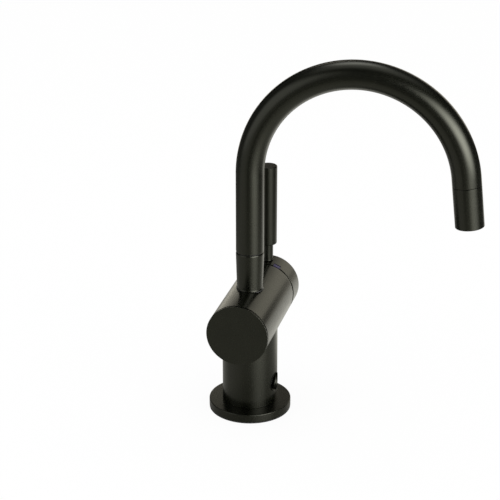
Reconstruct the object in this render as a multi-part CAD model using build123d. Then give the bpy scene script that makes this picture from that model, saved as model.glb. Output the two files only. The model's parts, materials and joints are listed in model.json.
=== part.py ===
from build123d import *
import math
import os

# Hot water tap for a sink deck, in millimetres.
# The deck is z = 0 and the post stands on the Z axis. The spout reaches along +X.
# The valve barrel lies along Y, with the lever at its +Y end.

# Clearances
FIT = 0.05
RUNNING_FIT = 0.06
SCREW_FIT = 0.05

# Deck flange and gasket
FLANGE_RADIUS = 27.5
FLANGE_THICKNESS = 5.5
FLANGE_CHAMFER = 0.5
GASKET_THICKNESS = 0.7
GASKET_SETBACK = 0.1
GASKET_WIDTH = 8.0

# Anchor that the deck stud screws into
ANCHOR_HEIGHT = 30.0
ANCHOR_SHOULDER = 0.7
ANCHOR_CHAMFER = 1.0
STUD_RADIUS = 4.0
STUD_DEPTH = 20.0

# Column
COLUMN_RADIUS = 18.4
COLUMN_WALL = 3.0

# Open bush that locks the column to the anchor, and its screw
LOCK_HEIGHT = 21.0
LOCK_ANGLE = -8.5
LOCK_BUSH_RADIUS = 6.5
LOCK_BUSH_BORE = 5.8
LOCK_BUSH_PROUD = 0.6
LOCK_BUSH_FLOOR = 1.5
LOCK_BUSH_SEAT = 11.0
LOCK_SCREW_RADIUS = 2.0
LOCK_SCREW_TIP = 5.2
LOCK_SCREW_HEAD_RADIUS = 3.5
LOCK_SCREW_HEAD = 2.6
LOCK_SCREW_KEY = 3.0
HEX_DEPTH = 2.0
SCREW_POINT_SHARE = 0.3

# Water tubes
TUBE_RADIUS = 3.175
TUBE_WALL = 0.775
TUBE_CIRCLE = 9.3
TUBE_SEAT_DROP = 9.5
TUBE_ANGLES = {"cold_supply_tube": 150.0, "tank_feed_tube": 30.0, "hot_return_tube": 270.0}

# Valve barrel
BARREL_AXIS_HEIGHT = 66.9
BARREL_RADIUS = 20.4
BARREL_WALL = 2.4
BARREL_BACK = 40.4
BARREL_CHAMFER = 0.35
TUBE_WINDOW_RADIUS = 13.0

# Cap on the plain end of the barrel
FRONT_REACH = 34.4
CAP_RIM = 0.8
CAP_CHAMFER = 0.3
CAP_GROOVE_WIDTH = 0.9
CAP_GROOVE_DEPTH = 1.2
CAP_SPIGOT_LENGTH = 6.0
CAP_SPIGOT_WALL = 3.0
CAP_FACE_THICKNESS = 2.5

# O-rings: thickness of the cord and depth of the groove floor below the ring
SMALL_SEAL = 1.2
LARGE_SEAL = 1.5
SEAL_GROOVE_SIDE = 0.25

# Valve body inside the barrel
VALVE_BODY_HALF = 13.0
CARTRIDGE_REGISTER = 2.0
OUTLET_RADIUS = 4.5
PORT_RADIUS = 2.4
PORT_CIRCLE = 5.6
PORT_ANGLES = {"outlet": 90.0, "cold_supply": 210.0, "tank_feed": 330.0}
PASSAGE_RADIUS = 2.1
HOT_PASSAGE_RISE = 3.1

# Cartridge
CARTRIDGE_RADIUS = 13.0
CARTRIDGE_LENGTH = 19.0
CARTRIDGE_NECK_RADIUS = 8.0
CARTRIDGE_NECK_LENGTH = 8.0
DISC_RADIUS = 9.5
FIXED_DISC_THICKNESS = 4.0
MOVING_DISC_THICKNESS = 3.5
DISC_GAP = 0.04
DISC_SIDE_CLEARANCE = 0.3
DISC_POCKET_SPAN = 130.0
DISC_POCKET_DEPTH = 2.0
DISC_POCKET_WIDTH = 4.0
NUT_THICKNESS = 6.0
NUT_SLOT_WIDTH = 3.0
NUT_SLOT_DEPTH = 2.0

# Spindle
SPINDLE_RADIUS = 4.0
SPINDLE_DOG_RADIUS = 8.8
SPINDLE_DOG_THICKNESS = 2.4
SPINDLE_END_IN_HUB = 12.0
SPINDLE_FLAT = 0.5
SPINDLE_FLAT_LENGTH = 7.5
SPINDLE_SEAL_OFFSETS = (10.0, 14.0)

# Return spring round the cartridge neck
SPRING_WIRE = 1.2
SPRING_RADIUS = 9.3
SPRING_PITCH = 2.0
SPRING_TURNS = 3.5
SPRING_END_GAP = 0.15

# Lever hub
HUB_GAP = 0.6
HUB_LENGTH = 16.1
HUB_CHAMFER = 0.35
HUB_BACK_CHAMFER = 0.6
HUB_POCKET_RADIUS = 11.0
HUB_POCKET_DEPTH = 4.4
HUB_SCREW_RADIUS = 2.5
HUB_SCREW_LENGTH = 6.0
HUB_SCREW_KEY = 2.5
MARK_START = 14.5
MARK_SPAN = 16.0
MARK_LENGTH = 3.6
MARK_DEPTH = 0.9
MARK_RECESS = 0.25

# Lever
STEM_RADIUS = 3.7
STEM_SHOULDER_GAP = 0.45
STEM_CHAMFER = 0.5
STEM_THREAD_RADIUS = 2.5
STEM_THREAD_LENGTH = 12.0
STEM_TOP_RADIUS = 3.0
STEM_TOP_LENGTH = 20.0
GRIP_RADIUS = 6.2
GRIP_LENGTH = 56.0
GRIP_RISE = 12.1
GRIP_CHAMFER = 0.5

# Collar that carries the spout
SEAT_DEPTH = 1.2
SEAT_WASHER_RADIUS = 9.0
SEAT_WASHER_THICKNESS = 0.7
COLLAR_LENGTH = 25.6
COLLAR_BOTTOM_RADIUS = 8.62
COLLAR_TOP_RADIUS = 9.27
COLLAR_CHAMFER = 0.4
COLLAR_NECK_RADIUS = 6.5
COLLAR_NECK_LENGTH = 8.0
COLLAR_FLOOR = 5.6

# Spout swivel inside the collar
SPIGOT_RADIUS = 6.5
SPIGOT_END_GAP = 1.0
SPIGOT_CHAMFER = 0.3
BUSHING_WALL = 1.0
BUSHING_LENGTH = 5.2
BUSHING_FLANGE_RADIUS = 8.7
BUSHING_FLANGE = 0.35
SWIVEL_GAP = 0.05
SWIVEL_SOCKET_LENGTH = 12.0
SWIVEL_SEAL_RISES = (4.1, 7.6)
CLIP_RISE = 10.85
CLIP_THICKNESS = 1.3
CLIP_OPENING = 60.0
CLIP_OUTSIDE = 0.6
CLIP_INSIDE = 0.6
CLIP_ROOM = 0.3

# Spout tube
SPOUT_RADIUS = 9.2
SPOUT_WALL = 1.2
SPOUT_CHAMFER = 0.3
POST_LENGTH = 53.5
BEND_RADIUS = 68.9
BEND_ANGLE = 173.1
TIP_STRAIGHT = 4.8

# Nozzle
NOZZLE_LENGTH = 26.8
NOZZLE_CHAMFER = 0.6
NOZZLE_BORE_RADIUS = 6.0
NOZZLE_SPIGOT_RELIEF = 0.2
NOZZLE_MOUTH_RADIUS = 7.4
STREAM_RECESS = 1.2
STREAM_LENGTH = 9.0
STREAM_HOLE_RADIUS = 0.75
STREAM_RINGS = {0.0: 1, 2.4: 6, 4.9: 12}
STREAM_WASHER_THICKNESS = 1.2

# Heights up the post
flange_bottom = GASKET_THICKNESS
flange_top = flange_bottom + FLANGE_THICKNESS
column_inner = COLUMN_RADIUS - COLUMN_WALL
anchor_radius = column_inner - FIT
foot_radius = column_inner + ANCHOR_SHOULDER
barrel_top = BARREL_AXIS_HEIGHT + BARREL_RADIUS
tube_top = BARREL_AXIS_HEIGHT - TUBE_SEAT_DROP
seat_height = barrel_top - SEAT_DEPTH
collar_bottom = seat_height + SEAT_WASHER_THICKNESS
collar_top = collar_bottom + COLLAR_LENGTH
collar_bore_bottom = collar_bottom + COLLAR_FLOOR
neck_bottom = seat_height - COLLAR_NECK_LENGTH
collar_bore = SPIGOT_RADIUS + RUNNING_FIT
spout_bottom = collar_top + BUSHING_FLANGE + SWIVEL_GAP
bend_height = spout_bottom + POST_LENGTH
spout_bore = SPOUT_RADIUS - SPOUT_WALL
nozzle_spigot = TIP_STRAIGHT - NOZZLE_SPIGOT_RELIEF

# Places along the barrel
barrel_bore = BARREL_RADIUS - BARREL_WALL
barrel_front = -(FRONT_REACH - CAP_RIM - CAP_GROOVE_WIDTH)
cartridge_seat = VALVE_BODY_HALF - CARTRIDGE_REGISTER
cartridge_shoulder = cartridge_seat + CARTRIDGE_LENGTH
neck_end = cartridge_shoulder + CARTRIDGE_NECK_LENGTH
moving_disc_front = cartridge_seat + FIXED_DISC_THICKNESS + DISC_GAP
dog_front = moving_disc_front + MOVING_DISC_THICKNESS
dog_back = dog_front + SPINDLE_DOG_THICKNESS
disc_chamber_end = dog_back + DISC_GAP
spindle_bore = SPINDLE_RADIUS + RUNNING_FIT
nut_end = cartridge_shoulder + NUT_THICKNESS
hub_front = BARREL_BACK + HUB_GAP
hub_back = hub_front + HUB_LENGTH
hub_middle = (hub_front + hub_back) / 2
spindle_end = hub_front + SPINDLE_END_IN_HUB
stem_bottom = barrel_top + STEM_SHOULDER_GAP
grip_bottom = barrel_top + GRIP_RISE

# Frames of the pieces that don't stand along Z
barrel_frame = Pos(0, 0, BARREL_AXIS_HEIGHT) * Rot(-90, 0, 0)
lock_frame = Rot(0, 0, LOCK_ANGLE) * Pos(0, 0, LOCK_HEIGHT) * Rot(0, 90, 0)
bend_turn = math.radians(BEND_ANGLE)
tip_direction = Vector(math.sin(bend_turn), 0, math.cos(bend_turn))
bend_end = Vector(BEND_RADIUS * (1 - math.cos(bend_turn)), 0, bend_height + BEND_RADIUS * math.sin(bend_turn))
nozzle_end = bend_end + tip_direction * (TIP_STRAIGHT + FIT)
tip_frame = Plane(origin=bend_end, x_dir=(0, 1, 0), z_dir=tip_direction).location
nozzle_frame = Plane(origin=nozzle_end, x_dir=(0, 1, 0), z_dir=tip_direction).location


def turned(*outline):
    """Solid of revolution about Z from corners given as (radius, height)."""
    corners = [(radius, 0, height) for radius, height in outline]
    return revolve(make_face(Polyline(*corners, close=True)), Axis.Z)


def rod(radius, bottom, top):
    """Round bar along Z."""
    return Pos(0, 0, bottom) * Cylinder(radius, top - bottom, align=(Align.CENTER, Align.CENTER, Align.MIN))


def ring(outer, inner, bottom, top):
    """Plain ring along Z."""
    return turned((inner, bottom), (outer, bottom), (outer, top), (inner, top))


def on_circle(radius, angle):
    """Point at a radius and an angle in degrees."""
    return (radius * math.cos(math.radians(angle)), radius * math.sin(math.radians(angle)))


def barrel_point(radius, angle):
    """Point in the barrel's own frame, by its angle up from +X seen along the barrel."""
    x, up = on_circle(radius, angle)
    return (x, -up)


def arc_band(outer, inner, start, span, bottom, top):
    """Part of a ring, from one angle round by a span, in degrees."""
    outside = CenterArc((0, 0), outer, start, span)
    inside = CenterArc((0, 0), inner, start, span)
    near_side = Line(on_circle(inner, start), on_circle(outer, start))
    far_side = Line(on_circle(inner, start + span), on_circle(outer, start + span))
    face = make_face([near_side, outside, far_side, inside])
    return Pos(0, 0, bottom) * extrude(face, top - bottom)


def seal(bore, thickness, height):
    """O-ring that fills the space inside a bore, in a groove on the shaft."""
    cord = thickness / 2
    return Pos(0, 0, height) * Torus(bore - FIT - cord, cord)


def seal_groove(shaft, bore, thickness, height):
    """Cutter for the groove that holds such an O-ring on its shaft."""
    half = thickness / 2 + SEAL_GROOVE_SIDE
    floor = bore - 2 * FIT - thickness
    return ring(shaft + thickness, floor, height - half, height + half)


def hex_socket(key, bottom, top):
    """Cutter for a hexagon socket, by its width across flats."""
    return Pos(0, 0, bottom) * extrude(RegularPolygon(key / 2, 6, major_radius=False), top - bottom)


def set_screw(radius, length, key):
    """Headless screw along Z, its point at zero and its socket at the far end."""
    point = radius * SCREW_POINT_SHARE
    screw = turned((0, 0), (radius - point, 0), (radius, point), (radius, length), (0, length))
    return screw - hex_socket(key, length - HEX_DEPTH, length)


def base_gasket():
    outer = FLANGE_RADIUS - GASKET_SETBACK
    return ring(outer, outer - GASKET_WIDTH, 0, GASKET_THICKNESS)


def base_flange():
    bore = foot_radius + FIT
    edge = FLANGE_RADIUS - FLANGE_CHAMFER
    return turned(
        (bore, flange_bottom),
        (FLANGE_RADIUS, flange_bottom),
        (FLANGE_RADIUS, flange_top - FLANGE_CHAMFER),
        (edge, flange_top),
        (bore, flange_top),
    )


def anchor():
    body = turned(
        (STUD_RADIUS, 0),
        (foot_radius, 0),
        (foot_radius, flange_top),
        (anchor_radius, flange_top),
        (anchor_radius, ANCHOR_HEIGHT - ANCHOR_CHAMFER),
        (anchor_radius - ANCHOR_CHAMFER, ANCHOR_HEIGHT),
        (0, ANCHOR_HEIGHT),
        (0, STUD_DEPTH),
        (STUD_RADIUS, STUD_DEPTH),
    )
    for angle in TUBE_ANGLES.values():
        body -= Pos(*on_circle(TUBE_CIRCLE, angle)) * rod(TUBE_RADIUS + FIT, 0, ANCHOR_HEIGHT)
    body -= lock_frame * rod(LOCK_BUSH_RADIUS + FIT, LOCK_BUSH_SEAT, COLUMN_RADIUS)
    return body - lock_frame * rod(LOCK_SCREW_RADIUS + SCREW_FIT, LOCK_SCREW_TIP, LOCK_BUSH_SEAT)


def column():
    tube = ring(COLUMN_RADIUS, column_inner, flange_top, BARREL_AXIS_HEIGHT)
    tube -= barrel_frame * rod(BARREL_RADIUS, -2 * BARREL_RADIUS, 2 * BARREL_RADIUS)
    return tube - lock_frame * rod(LOCK_BUSH_RADIUS + FIT, 0, 2 * COLUMN_RADIUS)


def lock_bush():
    face = COLUMN_RADIUS + LOCK_BUSH_PROUD
    screw_hole = LOCK_SCREW_RADIUS + SCREW_FIT
    floor = LOCK_BUSH_SEAT + LOCK_BUSH_FLOOR
    bush = turned(
        (screw_hole, LOCK_BUSH_SEAT),
        (LOCK_BUSH_RADIUS, LOCK_BUSH_SEAT),
        (LOCK_BUSH_RADIUS, 2 * COLUMN_RADIUS),
        (LOCK_BUSH_BORE, 2 * COLUMN_RADIUS),
        (LOCK_BUSH_BORE, floor),
        (screw_hole, floor),
    )
    return (lock_frame * bush) & rod(face, 0, BARREL_AXIS_HEIGHT)


def lock_screw():
    point = LOCK_SCREW_RADIUS * SCREW_POINT_SHARE
    head = LOCK_BUSH_SEAT + LOCK_BUSH_FLOOR
    end = head + LOCK_SCREW_HEAD
    screw = turned(
        (0, LOCK_SCREW_TIP),
        (LOCK_SCREW_RADIUS - point, LOCK_SCREW_TIP),
        (LOCK_SCREW_RADIUS, LOCK_SCREW_TIP + point),
        (LOCK_SCREW_RADIUS, head),
        (LOCK_SCREW_HEAD_RADIUS, head),
        (LOCK_SCREW_HEAD_RADIUS, end),
        (0, end),
    )
    return lock_frame * (screw - hex_socket(LOCK_SCREW_KEY, end - HEX_DEPTH, end))


def water_tube(angle):
    return Pos(*on_circle(TUBE_CIRCLE, angle)) * ring(TUBE_RADIUS, TUBE_RADIUS - TUBE_WALL, 0, tube_top)


def barrel():
    edge = BARREL_RADIUS - BARREL_CHAMFER
    shell = turned(
        (barrel_bore, barrel_front),
        (edge, barrel_front),
        (BARREL_RADIUS, barrel_front + BARREL_CHAMFER),
        (BARREL_RADIUS, BARREL_BACK - BARREL_CHAMFER),
        (edge, BARREL_BACK),
        (barrel_bore, BARREL_BACK),
    )
    shell = barrel_frame * shell
    shell -= rod(TUBE_WINDOW_RADIUS, 0, BARREL_AXIS_HEIGHT)
    shell -= rod(COLLAR_NECK_RADIUS + FIT, BARREL_AXIS_HEIGHT, barrel_top)
    return shell - rod(SEAT_WASHER_RADIUS + FIT, seat_height, barrel_top + SEAT_DEPTH)


def front_cap():
    face = -FRONT_REACH
    spigot = barrel_bore - FIT
    neck = BARREL_RADIUS - CAP_GROOVE_DEPTH
    spigot_end = barrel_front + CAP_SPIGOT_LENGTH
    hollow = spigot - CAP_SPIGOT_WALL
    cap = turned(
        (0, face),
        (BARREL_RADIUS - CAP_CHAMFER, face),
        (BARREL_RADIUS, face + CAP_CHAMFER),
        (BARREL_RADIUS, face + CAP_RIM),
        (neck, face + CAP_RIM),
        (neck, barrel_front),
        (spigot, barrel_front),
        (spigot, spigot_end),
        (hollow, spigot_end),
        (hollow, face + CAP_FACE_THICKNESS),
        (0, face + CAP_FACE_THICKNESS),
    )
    middle = barrel_front + CAP_SPIGOT_LENGTH / 2
    return barrel_frame * (cap - seal_groove(spigot, barrel_bore, LARGE_SEAL, middle))


def front_cap_seal():
    return barrel_frame * seal(barrel_bore, LARGE_SEAL, barrel_front + CAP_SPIGOT_LENGTH / 2)


def valve_body():
    block = rod(barrel_bore - FIT, -VALVE_BODY_HALF, VALVE_BODY_HALF)
    block -= rod(CARTRIDGE_RADIUS + FIT, cartridge_seat, VALVE_BODY_HALF)
    for angle in PORT_ANGLES.values():
        block -= Pos(*barrel_point(PORT_CIRCLE, angle)) * rod(PORT_RADIUS, 0, cartridge_seat)
    block -= Pos(0, -HOT_PASSAGE_RISE) * rod(PORT_RADIUS, -TUBE_CIRCLE, 0)
    block = barrel_frame * block
    for angle in TUBE_ANGLES.values():
        place = Pos(*on_circle(TUBE_CIRCLE, angle))
        block -= place * rod(TUBE_RADIUS + FIT, 0, tube_top)
        block -= place * rod(PASSAGE_RADIUS, tube_top, BARREL_AXIS_HEIGHT + HOT_PASSAGE_RISE)
    block -= rod(OUTLET_RADIUS, BARREL_AXIS_HEIGHT, barrel_top)
    return block - rod(COLLAR_NECK_RADIUS + FIT, neck_bottom, barrel_top)


def cartridge_body():
    chamber = DISC_RADIUS + FIT
    body = turned(
        (chamber, cartridge_seat),
        (CARTRIDGE_RADIUS, cartridge_seat),
        (CARTRIDGE_RADIUS, cartridge_shoulder),
        (CARTRIDGE_NECK_RADIUS, cartridge_shoulder),
        (CARTRIDGE_NECK_RADIUS, neck_end),
        (spindle_bore, neck_end),
        (spindle_bore, disc_chamber_end),
        (chamber, disc_chamber_end),
    )
    return barrel_frame * body


def fixed_disc():
    disc = rod(DISC_RADIUS, cartridge_seat, cartridge_seat + FIXED_DISC_THICKNESS)
    for angle in PORT_ANGLES.values():
        port = Pos(*barrel_point(PORT_CIRCLE, angle))
        disc -= port * rod(PORT_RADIUS, cartridge_seat, cartridge_seat + FIXED_DISC_THICKNESS)
    return barrel_frame * disc


def moving_disc():
    disc = rod(DISC_RADIUS - DISC_SIDE_CLEARANCE, moving_disc_front, dog_front)
    outer = PORT_CIRCLE + DISC_POCKET_WIDTH / 2
    inner = PORT_CIRCLE - DISC_POCKET_WIDTH / 2
    start = -PORT_ANGLES["cold_supply"] - DISC_POCKET_SPAN / 2
    floor = moving_disc_front + DISC_POCKET_DEPTH
    return barrel_frame * (disc - arc_band(outer, inner, start, DISC_POCKET_SPAN, moving_disc_front, floor))


def cartridge_nut():
    outer = barrel_bore - FIT
    nut = ring(outer, CARTRIDGE_NECK_RADIUS + FIT, cartridge_shoulder, nut_end)
    slot = Pos(0, 0, nut_end - NUT_SLOT_DEPTH / 2) * Box(2 * outer, NUT_SLOT_WIDTH, NUT_SLOT_DEPTH)
    hollow = rod(CARTRIDGE_RADIUS, cartridge_shoulder, nut_end)
    return barrel_frame * (nut - (slot - hollow))


def spindle_seal_places():
    return [dog_back + offset for offset in SPINDLE_SEAL_OFFSETS]


def spindle():
    shaft = turned(
        (0, dog_front),
        (SPINDLE_DOG_RADIUS, dog_front),
        (SPINDLE_DOG_RADIUS, dog_back),
        (SPINDLE_RADIUS, dog_back),
        (SPINDLE_RADIUS, spindle_end),
        (0, spindle_end),
    )
    for place in spindle_seal_places():
        shaft -= seal_groove(SPINDLE_RADIUS, spindle_bore, SMALL_SEAL, place)
    flat_drop = SPINDLE_RADIUS - SPINDLE_FLAT
    cutter = Box(2 * SPINDLE_RADIUS, 2 * SPINDLE_RADIUS, SPINDLE_FLAT_LENGTH)
    shaft -= Pos(0, flat_drop + SPINDLE_RADIUS, hub_middle) * cutter
    return barrel_frame * shaft


def spindle_seals():
    return [barrel_frame * seal(spindle_bore, SMALL_SEAL, place) for place in spindle_seal_places()]


def return_spring():
    start = nut_end + SPRING_END_GAP + SPRING_WIRE / 2
    path = Helix(SPRING_PITCH, SPRING_PITCH * SPRING_TURNS, SPRING_RADIUS, center=(0, 0, start))
    section = Plane(origin=path @ 0, z_dir=path % 0) * Circle(SPRING_WIRE / 2)
    return barrel_frame * sweep(section, path=path, is_frenet=True)


def hub_mark(side, outer, bottom, top):
    """Band on the hub's rim, on the +X side for 1 and on the -X side for -1."""
    start = MARK_START - 90 if side > 0 else -90 - MARK_START - MARK_SPAN
    inner = BARREL_RADIUS - MARK_DEPTH
    return barrel_frame * arc_band(outer, inner, start, MARK_SPAN, bottom, top)


def lever_hub():
    hub = turned(
        (0, hub_front + HUB_POCKET_DEPTH),
        (HUB_POCKET_RADIUS, hub_front + HUB_POCKET_DEPTH),
        (HUB_POCKET_RADIUS, hub_front),
        (BARREL_RADIUS - HUB_CHAMFER, hub_front),
        (BARREL_RADIUS, hub_front + HUB_CHAMFER),
        (BARREL_RADIUS, hub_back - HUB_BACK_CHAMFER),
        (BARREL_RADIUS - HUB_BACK_CHAMFER, hub_back),
        (0, hub_back),
    )
    hub -= rod(SPINDLE_RADIUS + FIT, hub_front, spindle_end + FIT)
    hub = barrel_frame * hub
    at_middle = Pos(0, hub_middle, 0)
    stem_end = stem_bottom - STEM_THREAD_LENGTH - FIT
    hub -= at_middle * rod(STEM_THREAD_RADIUS + SCREW_FIT, stem_end, stem_bottom)
    hub -= at_middle * rod(HUB_SCREW_RADIUS + SCREW_FIT, 0, BARREL_AXIS_HEIGHT)
    for side in (1, -1):
        hub -= hub_mark(side, BARREL_RADIUS + MARK_DEPTH, hub_front, hub_front + MARK_LENGTH)
    return hub


def hub_screw():
    tip = BARREL_AXIS_HEIGHT - SPINDLE_RADIUS + SPINDLE_FLAT
    screw = set_screw(HUB_SCREW_RADIUS, HUB_SCREW_LENGTH, HUB_SCREW_KEY)
    return Pos(0, hub_middle, tip) * Rot(180, 0, 0) * screw


def index_mark(side):
    return hub_mark(side, BARREL_RADIUS - MARK_RECESS, hub_front, hub_front + MARK_LENGTH)


def lever_stem():
    stem = turned(
        (0, stem_bottom - STEM_THREAD_LENGTH),
        (STEM_THREAD_RADIUS, stem_bottom - STEM_THREAD_LENGTH),
        (STEM_THREAD_RADIUS, stem_bottom),
        (STEM_RADIUS - STEM_CHAMFER, stem_bottom),
        (STEM_RADIUS, stem_bottom + STEM_CHAMFER),
        (STEM_RADIUS, grip_bottom),
        (STEM_TOP_RADIUS, grip_bottom),
        (STEM_TOP_RADIUS, grip_bottom + STEM_TOP_LENGTH),
        (0, grip_bottom + STEM_TOP_LENGTH),
    )
    return Pos(0, hub_middle, 0) * stem


def lever_grip():
    top = grip_bottom + GRIP_LENGTH
    edge = GRIP_RADIUS - GRIP_CHAMFER
    socket = STEM_TOP_RADIUS + FIT
    socket_end = grip_bottom + STEM_TOP_LENGTH + FIT
    grip = turned(
        (socket, grip_bottom),
        (edge, grip_bottom),
        (GRIP_RADIUS, grip_bottom + GRIP_CHAMFER),
        (GRIP_RADIUS, top - GRIP_CHAMFER),
        (edge, top),
        (0, top),
        (0, socket_end),
        (socket, socket_end),
    )
    return Pos(0, hub_middle, 0) * grip


def collar_washer():
    return ring(SEAT_WASHER_RADIUS, COLLAR_NECK_RADIUS + FIT, seat_height, collar_bottom)


def collar():
    bushing_seat = SPIGOT_RADIUS + RUNNING_FIT + BUSHING_WALL + FIT
    bushing_floor = collar_top - BUSHING_LENGTH
    clip_low = collar_bore_bottom + CLIP_RISE - CLIP_THICKNESS / 2 - CLIP_ROOM
    clip_high = clip_low + CLIP_THICKNESS + 2 * CLIP_ROOM
    clip_groove = SPIGOT_RADIUS + CLIP_OUTSIDE + CLIP_ROOM
    return turned(
        (OUTLET_RADIUS, neck_bottom),
        (COLLAR_NECK_RADIUS, neck_bottom),
        (COLLAR_NECK_RADIUS, collar_bottom),
        (COLLAR_BOTTOM_RADIUS - COLLAR_CHAMFER, collar_bottom),
        (COLLAR_BOTTOM_RADIUS, collar_bottom + COLLAR_CHAMFER),
        (COLLAR_TOP_RADIUS, collar_top - COLLAR_CHAMFER),
        (COLLAR_TOP_RADIUS - COLLAR_CHAMFER, collar_top),
        (bushing_seat, collar_top),
        (bushing_seat, bushing_floor),
        (collar_bore, bushing_floor),
        (collar_bore, clip_high),
        (clip_groove, clip_high),
        (clip_groove, clip_low),
        (collar_bore, clip_low),
        (collar_bore, collar_bore_bottom),
        (OUTLET_RADIUS, collar_bore_bottom),
    )


def swivel_bushing():
    bore = SPIGOT_RADIUS + RUNNING_FIT
    outer = bore + BUSHING_WALL
    return turned(
        (bore, collar_top - BUSHING_LENGTH),
        (outer, collar_top - BUSHING_LENGTH),
        (outer, collar_top),
        (BUSHING_FLANGE_RADIUS, collar_top),
        (BUSHING_FLANGE_RADIUS, collar_top + BUSHING_FLANGE),
        (bore, collar_top + BUSHING_FLANGE),
    )


def swivel_seal_heights():
    return [collar_bore_bottom + rise for rise in SWIVEL_SEAL_RISES]


def swivel_spigot():
    bottom = collar_bore_bottom + SPIGOT_END_GAP
    socket = spout_bore - FIT
    spigot = turned(
        (OUTLET_RADIUS, bottom),
        (SPIGOT_RADIUS - SPIGOT_CHAMFER, bottom),
        (SPIGOT_RADIUS, bottom + SPIGOT_CHAMFER),
        (SPIGOT_RADIUS, spout_bottom),
        (socket, spout_bottom),
        (socket, spout_bottom + SWIVEL_SOCKET_LENGTH),
        (OUTLET_RADIUS, spout_bottom + SWIVEL_SOCKET_LENGTH),
    )
    for height in swivel_seal_heights():
        spigot -= seal_groove(SPIGOT_RADIUS, collar_bore, SMALL_SEAL, height)
    clip = collar_bore_bottom + CLIP_RISE
    half = CLIP_THICKNESS / 2 + FIT
    return spigot - ring(2 * SPIGOT_RADIUS, SPIGOT_RADIUS - CLIP_INSIDE - FIT, clip - half, clip + half)


def swivel_seals():
    return [seal(collar_bore, SMALL_SEAL, height) for height in swivel_seal_heights()]


def spout_clip():
    clip = collar_bore_bottom + CLIP_RISE
    outer = SPIGOT_RADIUS + CLIP_OUTSIDE
    inner = SPIGOT_RADIUS - CLIP_INSIDE
    half = CLIP_THICKNESS / 2
    return arc_band(outer, inner, CLIP_OPENING / 2, 360 - CLIP_OPENING, clip - half, clip + half)


def spout_tube():
    edge = SPOUT_RADIUS - SPOUT_CHAMFER
    post = turned(
        (spout_bore, spout_bottom),
        (edge, spout_bottom),
        (SPOUT_RADIUS, spout_bottom + SPOUT_CHAMFER),
        (SPOUT_RADIUS, bend_height),
        (spout_bore, bend_height),
    )
    section = Pos(0, 0, bend_height) * (Circle(SPOUT_RADIUS) - Circle(spout_bore))
    bend = revolve(section, Axis((BEND_RADIUS, 0, bend_height), (0, 1, 0)), BEND_ANGLE)
    tip = turned(
        (spout_bore, 0),
        (SPOUT_RADIUS, 0),
        (SPOUT_RADIUS, TIP_STRAIGHT - SPOUT_CHAMFER),
        (edge, TIP_STRAIGHT),
        (spout_bore, TIP_STRAIGHT),
    )
    return post + bend + tip_frame * tip


def nozzle():
    spigot = spout_bore - FIT
    mouth_floor = NOZZLE_LENGTH - STREAM_RECESS - STREAM_LENGTH - STREAM_WASHER_THICKNESS
    body = turned(
        (NOZZLE_BORE_RADIUS, -nozzle_spigot),
        (spigot, -nozzle_spigot),
        (spigot, 0),
        (SPOUT_RADIUS - SPOUT_CHAMFER, 0),
        (SPOUT_RADIUS, SPOUT_CHAMFER),
        (SPOUT_RADIUS, NOZZLE_LENGTH - NOZZLE_CHAMFER),
        (SPOUT_RADIUS - NOZZLE_CHAMFER, NOZZLE_LENGTH),
        (NOZZLE_MOUTH_RADIUS, NOZZLE_LENGTH),
        (NOZZLE_MOUTH_RADIUS, mouth_floor),
        (NOZZLE_BORE_RADIUS, mouth_floor),
    )
    return nozzle_frame * (body - seal_groove(spigot, spout_bore, SMALL_SEAL, -nozzle_spigot / 2))


def nozzle_seal():
    return nozzle_frame * seal(spout_bore, SMALL_SEAL, -nozzle_spigot / 2)


def stream_washer():
    top = NOZZLE_LENGTH - STREAM_RECESS - STREAM_LENGTH
    outer = NOZZLE_MOUTH_RADIUS - FIT
    return nozzle_frame * ring(outer, NOZZLE_BORE_RADIUS, top - STREAM_WASHER_THICKNESS, top)


def stream_insert():
    bottom = NOZZLE_LENGTH - STREAM_RECESS
    insert = rod(NOZZLE_MOUTH_RADIUS - FIT, bottom - STREAM_LENGTH, bottom)
    for radius, count in STREAM_RINGS.items():
        for step in range(count):
            hole = Pos(*on_circle(radius, 360 * step / count))
            insert -= hole * rod(STREAM_HOLE_RADIUS, bottom - STREAM_LENGTH, bottom)
    return nozzle_frame * insert


pieces = {
    "base_gasket": base_gasket(),
    "base_flange": base_flange(),
    "deck_anchor": anchor(),
    "column": column(),
    "lock_bush": lock_bush(),
    "lock_screw": lock_screw(),
    "barrel": barrel(),
    "front_cap": front_cap(),
    "front_cap_seal": front_cap_seal(),
    "valve_body": valve_body(),
    "cartridge_body": cartridge_body(),
    "fixed_disc": fixed_disc(),
    "moving_disc": moving_disc(),
    "cartridge_nut": cartridge_nut(),
    "spindle": spindle(),
    "spindle_seals": spindle_seals(),
    "return_spring": return_spring(),
    "lever_hub": lever_hub(),
    "hub_screw": hub_screw(),
    "cold_mark": index_mark(1),
    "hot_mark": index_mark(-1),
    "lever_stem": lever_stem(),
    "lever_grip": lever_grip(),
    "collar_washer": collar_washer(),
    "collar": collar(),
    "swivel_bushing": swivel_bushing(),
    "swivel_spigot": swivel_spigot(),
    "swivel_seals": swivel_seals(),
    "spout_clip": spout_clip(),
    "spout_tube": spout_tube(),
    "nozzle": nozzle(),
    "nozzle_seal": nozzle_seal(),
    "stream_washer": stream_washer(),
    "stream_insert": stream_insert(),
}
for name, angle in TUBE_ANGLES.items():
    pieces[name] = water_tube(angle)

os.makedirs("parts", exist_ok=True)
for name, piece in pieces.items():
    solids = piece if isinstance(piece, list) else piece.solids()
    shape = solids[0] if len(solids) == 1 else Compound(children=list(solids))
    shape.label = name
    export_step(shape, f"parts/{name}.step")
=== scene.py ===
import json
import math

import bpy
from mathutils import Matrix, Vector


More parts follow.
